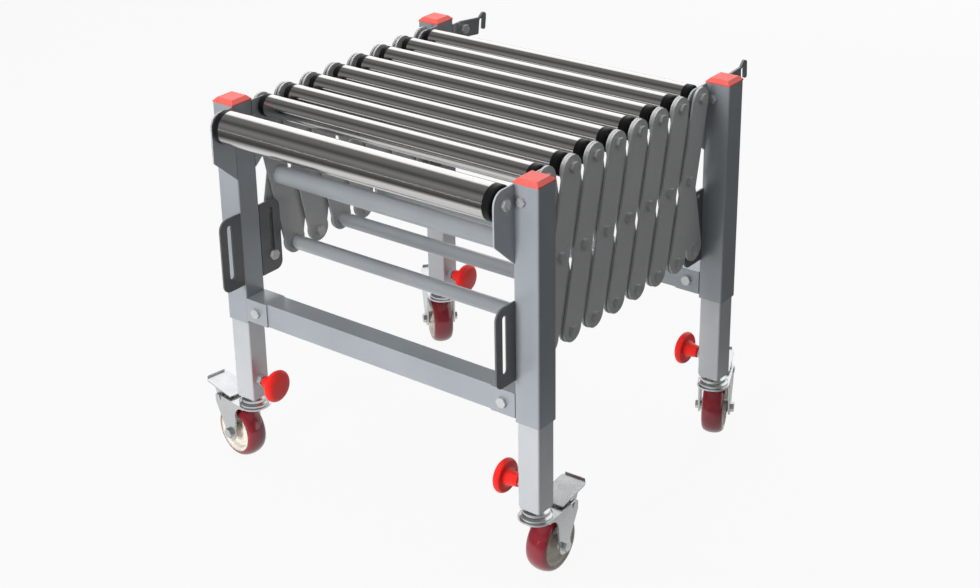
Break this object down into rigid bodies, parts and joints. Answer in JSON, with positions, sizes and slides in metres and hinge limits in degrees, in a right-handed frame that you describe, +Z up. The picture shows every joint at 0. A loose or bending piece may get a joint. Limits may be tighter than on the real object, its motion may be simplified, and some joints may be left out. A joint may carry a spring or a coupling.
{
  "type": "expandable roller table",
  "caption": "Wheeled work stand with a level deck of free rollers on scissor links; pulls out in length, with height-adjustable legs and braked swivel casters.",
  "frame": {"origin": "on the floor, midway between the four posts with the table pushed together", "axes": "+X to the table's right seen from the front roller, +Y from the front roller to the rear, +Z up"},
  "size_m": [0.7544, 0.7233, 0.684],
  "materials": {
    "frame_paint": "gloss grey paint with a fine metallic fleck",
    "sleeve_paint": "satin silver paint",
    "plate_paint": "satin dark grey powder coat",
    "link_paint": "satin grey powder coat",
    "rod_paint": "satin silver paint",
    "cap_red": "moulded red plastic, lightly grained",
    "knob_red": "glossy moulded red plastic",
    "zinc": "bright zinc plate",
    "roller_steel": "polished steel tube with black plastic end caps",
    "caster_zinc": "bright zinc-plated pressing",
    "tread": "glossy dark red polyurethane on a cream plastic hub"
  },
  "bodies": {
    "front_frame": {"front_frame_tubes": "frame_paint", "front_sleeves": "sleeve_paint", "front_caps": "cap_red", "front_brackets": "plate_paint", "front_slot_plates": "plate_paint", "front_fasteners": "zinc"},
    "rear_frame": {"rear_frame_tubes": "frame_paint", "rear_sleeves": "sleeve_paint", "rear_caps": "cap_red", "rear_brackets": "plate_paint", "rear_slot_plates": "plate_paint", "rear_fasteners": "zinc"},
    "hook_left": {"hook_left": "plate_paint"},
    "hook_right": {"hook_right": "plate_paint"},
    "inner_links_1": {"inner_links_1": "link_paint", "front_tie_rods": "rod_paint"},
    "outer_links_1": {"outer_links_1": "link_paint"},
    "inner_links_2": {"inner_links_2": "link_paint"},
    "outer_links_2": {"outer_links_2": "link_paint"},
    "inner_links_3": {"inner_links_3": "link_paint", "middle_tie_rod": "rod_paint"},
    "outer_links_3": {"outer_links_3": "link_paint"},
    "inner_links_4": {"inner_links_4": "link_paint"},
    "outer_links_4": {"outer_links_4": "link_paint"},
    "inner_links_5": {"inner_links_5": "link_paint", "rear_tie_rod": "rod_paint"},
    "outer_links_5": {"outer_links_5": "link_paint"},
    "inner_links_6": {"inner_links_6": "link_paint"},
    "outer_links_6": {"outer_links_6": "link_paint"},
    "inner_links_7": {"inner_links_7": "link_paint"},
    "outer_links_7": {"outer_links_7": "link_paint"},
    "front_roller": {"front_roller": "roller_steel"},
    "roller_1": {"roller_1": "roller_steel"},
    "roller_2": {"roller_2": "roller_steel"},
    "roller_3": {"roller_3": "roller_steel"},
    "roller_4": {"roller_4": "roller_steel"},
    "roller_5": {"roller_5": "roller_steel"},
    "roller_6": {"roller_6": "roller_steel"},
    "roller_7": {"roller_7": "roller_steel"},
    "roller_8": {"roller_8": "roller_steel"},
    "leg_front_left": {"leg_front_left": "sleeve_paint"},
    "knob_front_left": {"knob_front_left": "knob_red"},
    "fork_front_left": {"fork_front_left": "caster_zinc"},
    "wheel_front_left": {"wheel_front_left": "tread"},
    "brake_pedal_front_left": {"brake_pedal_front_left": "caster_zinc"},
    "leg_front_right": {"leg_front_right": "sleeve_paint"},
    "knob_front_right": {"knob_front_right": "knob_red"},
    "fork_front_right": {"fork_front_right": "caster_zinc"},
    "wheel_front_right": {"wheel_front_right": "tread"},
    "brake_pedal_front_right": {"brake_pedal_front_right": "caster_zinc"},
    "leg_rear_left": {"leg_rear_left": "sleeve_paint"},
    "knob_rear_left": {"knob_rear_left": "knob_red"},
    "fork_rear_left": {"fork_rear_left": "caster_zinc"},
    "wheel_rear_left": {"wheel_rear_left": "tread"},
    "brake_pedal_rear_left": {"brake_pedal_rear_left": "caster_zinc"},
    "leg_rear_right": {"leg_rear_right": "sleeve_paint"},
    "knob_rear_right": {"knob_rear_right": "knob_red"},
    "fork_rear_right": {"fork_rear_right": "caster_zinc"},
    "wheel_rear_right": {"wheel_rear_right": "tread"},
    "brake_pedal_rear_right": {"brake_pedal_rear_right": "caster_zinc"}
  },
  "joints": [
    {"name": "table_expand", "type": "hinge", "parent": "front_frame", "child": "inner_links_1", "pos_m": [0, -0.216, 0.66], "axis": [1, 0, 0], "range_deg": [0, 30]},
    {"name": "cross_pivot_1", "type": "hinge", "parent": "inner_links_1", "child": "outer_links_1", "pos_m": [0, -0.1855, 0.52439], "axis": [1, 0, 0], "range_deg": [-60, 0]},
    {"name": "low_pivot_1", "type": "hinge", "parent": "inner_links_1", "child": "outer_links_2", "pos_m": [0, -0.155, 0.38877], "axis": [1, 0, 0], "range_deg": [-60, 0]},
    {"name": "cross_pivot_2", "type": "hinge", "parent": "outer_links_2", "child": "inner_links_2", "pos_m": [0, -0.1245, 0.52439], "axis": [1, 0, 0], "range_deg": [0, 60]},
    {"name": "top_pivot_2", "type": "hinge", "parent": "outer_links_2", "child": "inner_links_3", "pos_m": [0, -0.094, 0.66], "axis": [1, 0, 0], "range_deg": [0, 60]},
    {"name": "cross_pivot_3", "type": "hinge", "parent": "inner_links_3", "child": "outer_links_3", "pos_m": [0, -0.0635, 0.52439], "axis": [1, 0, 0], "range_deg": [-60, 0]},
    {"name": "low_pivot_3", "type": "hinge", "parent": "inner_links_3", "child": "outer_links_4", "pos_m": [0, -0.033, 0.38877], "axis": [1, 0, 0], "range_deg": [-60, 0]},
    {"name": "cross_pivot_4", "type": "hinge", "parent": "outer_links_4", "child": "inner_links_4", "pos_m": [0, -0.0025, 0.52439], "axis": [1, 0, 0], "range_deg": [0, 60]},
    {"name": "top_pivot_4", "type": "hinge", "parent": "outer_links_4", "child": "inner_links_5", "pos_m": [0, 0.028, 0.66], "axis": [1, 0, 0], "range_deg": [0, 60]},
    {"name": "cross_pivot_5", "type": "hinge", "parent": "inner_links_5", "child": "outer_links_5", "pos_m": [0, 0.0585, 0.52439], "axis": [1, 0, 0], "range_deg": [-60, 0]},
    {"name": "low_pivot_5", "type": "hinge", "parent": "inner_links_5", "child": "outer_links_6", "pos_m": [0, 0.089, 0.38877], "axis": [1, 0, 0], "range_deg": [-60, 0]},
    {"name": "cross_pivot_6", "type": "hinge", "parent": "outer_links_6", "child": "inner_links_6", "pos_m": [0, 0.1195, 0.52439], "axis": [1, 0, 0], "range_deg": [0, 60]},
    {"name": "top_pivot_6", "type": "hinge", "parent": "outer_links_6", "child": "inner_links_7", "pos_m": [0, 0.15, 0.66], "axis": [1, 0, 0], "range_deg": [0, 60]},
    {"name": "cross_pivot_7", "type": "hinge", "parent": "inner_links_7", "child": "outer_links_7", "pos_m": [0, 0.1805, 0.52439], "axis": [1, 0, 0], "range_deg": [-60, 0]},
    {"name": "rear_frame_pivot", "type": "hinge", "parent": "outer_links_7", "child": "rear_frame", "pos_m": [0, 0.211, 0.66], "axis": [1, 0, 0], "range_deg": [0, 30]},
    {"name": "front_roller_spin", "type": "hinge", "parent": "front_frame", "child": "front_roller", "pos_m": [0, -0.312, 0.6505], "axis": [1, 0, 0], "continuous": true},
    {"name": "roller_1_spin", "type": "hinge", "parent": "inner_links_1", "child": "roller_1", "pos_m": [0, -0.216, 0.66], "axis": [1, 0, 0], "continuous": true},
    {"name": "roller_2_spin", "type": "hinge", "parent": "inner_links_2", "child": "roller_2", "pos_m": [0, -0.155, 0.66], "axis": [1, 0, 0], "continuous": true},
    {"name": "roller_3_spin", "type": "hinge", "parent": "inner_links_3", "child": "roller_3", "pos_m": [0, -0.094, 0.66], "axis": [1, 0, 0], "continuous": true},
    {"name": "roller_4_spin", "type": "hinge", "parent": "inner_links_4", "child": "roller_4", "pos_m": [0, -0.033, 0.66], "axis": [1, 0, 0], "continuous": true},
    {"name": "roller_5_spin", "type": "hinge", "parent": "inner_links_5", "child": "roller_5", "pos_m": [0, 0.028, 0.66], "axis": [1, 0, 0], "continuous": true},
    {"name": "roller_6_spin", "type": "hinge", "parent": "inner_links_6", "child": "roller_6", "pos_m": [0, 0.089, 0.66], "axis": [1, 0, 0], "continuous": true},
    {"name": "roller_7_spin", "type": "hinge", "parent": "inner_links_7", "child": "roller_7", "pos_m": [0, 0.15, 0.66], "axis": [1, 0, 0], "continuous": true},
    {"name": "roller_8_spin", "type": "hinge", "parent": "outer_links_7", "child": "roller_8", "pos_m": [0, 0.211, 0.66], "axis": [1, 0, 0], "continuous": true},
    {"name": "hook_left_swing", "type": "hinge", "parent": "rear_frame", "child": "hook_left", "pos_m": [0, 0.315, 0.651], "axis": [1, 0, 0], "range_deg": [-90, 60]},
    {"name": "hook_right_swing", "type": "hinge", "parent": "rear_frame", "child": "hook_right", "pos_m": [0, 0.315, 0.651], "axis": [1, 0, 0], "range_deg": [-90, 60]},
    {"name": "leg_front_left_slide", "type": "slide", "parent": "front_frame", "child": "leg_front_left", "axis": [0, 0, -1], "range_m": [0, 0.2]},
    {"name": "knob_front_left_turn", "type": "hinge", "parent": "front_frame", "child": "knob_front_left", "pos_m": [-0.251, -0.2655, 0.167], "axis": [1, 0, 0], "range_deg": [0, 360]},
    {"name": "caster_front_left_swivel", "type": "hinge", "parent": "leg_front_left", "child": "fork_front_left", "pos_m": [-0.3035, -0.2655, 0.113], "axis": [0, 0, 1], "continuous": true},
    {"name": "wheel_front_left_spin", "type": "hinge", "parent": "fork_front_left", "child": "wheel_front_left", "pos_m": [-0.34301, -0.25924, 0.05], "axis": [-0.1564, -0.9877, 0], "continuous": true},
    {"name": "brake_front_left_press", "type": "hinge", "parent": "fork_front_left", "child": "brake_pedal_front_left", "pos_m": [-0.37066, -0.25486, 0.11], "axis": [-0.1564, -0.9877, 0], "range_deg": [0, 18]},
    {"name": "leg_front_right_slide", "type": "slide", "parent": "front_frame", "child": "leg_front_right", "axis": [0, 0, -1], "range_m": [0, 0.2]},
    {"name": "knob_front_right_turn", "type": "hinge", "parent": "front_frame", "child": "knob_front_right", "pos_m": [0.251, -0.2655, 0.167], "axis": [-1, 0, 0], "range_deg": [0, 360]},
    {"name": "caster_front_right_swivel", "type": "hinge", "parent": "leg_front_right", "child": "fork_front_right", "pos_m": [0.3035, -0.2655, 0.113], "axis": [0, 0, 1], "continuous": true},
    {"name": "wheel_front_right_spin", "type": "hinge", "parent": "fork_front_right", "child": "wheel_front_right", "pos_m": [0.3021, -0.22552, 0.05], "axis": [-0.9994, -0.0349, 0], "continuous": true},
    {"name": "brake_front_right_press", "type": "hinge", "parent": "fork_front_right", "child": "brake_pedal_front_right", "pos_m": [0.30113, -0.19754, 0.11], "axis": [-0.9994, -0.0349, 0], "range_deg": [0, 18]},
    {"name": "leg_rear_left_slide", "type": "slide", "parent": "rear_frame", "child": "leg_rear_left", "axis": [0, 0, -1], "range_m": [0, 0.2]},
    {"name": "knob_rear_left_turn", "type": "hinge", "parent": "rear_frame", "child": "knob_rear_left", "pos_m": [-0.251, 0.2655, 0.167], "axis": [1, 0, 0], "range_deg": [0, 360]},
    {"name": "caster_rear_left_swivel", "type": "hinge", "parent": "leg_rear_left", "child": "fork_rear_left", "pos_m": [-0.3035, 0.2655, 0.113], "axis": [0, 0, 1], "continuous": true},
    {"name": "wheel_rear_left_spin", "type": "hinge", "parent": "fork_rear_left", "child": "wheel_rear_left", "pos_m": [-0.33414, 0.29121, 0.05], "axis": [-0.6428, -0.766, 0], "continuous": true},
    {"name": "brake_rear_left_press", "type": "hinge", "parent": "fork_rear_left", "child": "brake_pedal_rear_left", "pos_m": [-0.35559, 0.30921, 0.11], "axis": [-0.6428, -0.766, 0], "range_deg": [0, 18]},
    {"name": "leg_rear_right_slide", "type": "slide", "parent": "rear_frame", "child": "leg_rear_right", "axis": [0, 0, -1], "range_m": [0, 0.2]},
    {"name": "knob_rear_right_turn", "type": "hinge", "parent": "rear_frame", "child": "knob_rear_right", "pos_m": [0.251, 0.2655, 0.167], "axis": [-1, 0, 0], "range_deg": [0, 360]},
    {"name": "caster_rear_right_swivel", "type": "hinge", "parent": "leg_rear_right", "child": "fork_rear_right", "pos_m": [0.3035, 0.2655, 0.113], "axis": [0, 0, 1], "continuous": true},
    {"name": "wheel_rear_right_spin", "type": "hinge", "parent": "fork_rear_right", "child": "wheel_rear_right", "pos_m": [0.28787, 0.30232, 0.05], "axis": [-0.9205, -0.3907, 0], "continuous": true},
    {"name": "brake_rear_right_press", "type": "hinge", "parent": "fork_rear_right", "child": "brake_pedal_rear_right", "pos_m": [0.27693, 0.32809, 0.11], "axis": [-0.9205, -0.3907, 0], "range_deg": [0, 18]}
  ],
  "couplings": [
    {"joint": "cross_pivot_1", "follows": "table_expand", "ratio": -2},
    {"joint": "low_pivot_1", "follows": "table_expand", "ratio": -2},
    {"joint": "cross_pivot_2", "follows": "table_expand", "ratio": 2},
    {"joint": "top_pivot_2", "follows": "table_expand", "ratio": 2},
    {"joint": "cross_pivot_3", "follows": "table_expand", "ratio": -2},
    {"joint": "low_pivot_3", "follows": "table_expand", "ratio": -2},
    {"joint": "cross_pivot_4", "follows": "table_expand", "ratio": 2},
    {"joint": "top_pivot_4", "follows": "table_expand", "ratio": 2},
    {"joint": "cross_pivot_5", "follows": "table_expand", "ratio": -2},
    {"joint": "low_pivot_5", "follows": "table_expand", "ratio": -2},
    {"joint": "cross_pivot_6", "follows": "table_expand", "ratio": 2},
    {"joint": "top_pivot_6", "follows": "table_expand", "ratio": 2},
    {"joint": "cross_pivot_7", "follows": "table_expand", "ratio": -2},
    {"joint": "rear_frame_pivot", "follows": "table_expand", "ratio": 1}
  ]
}
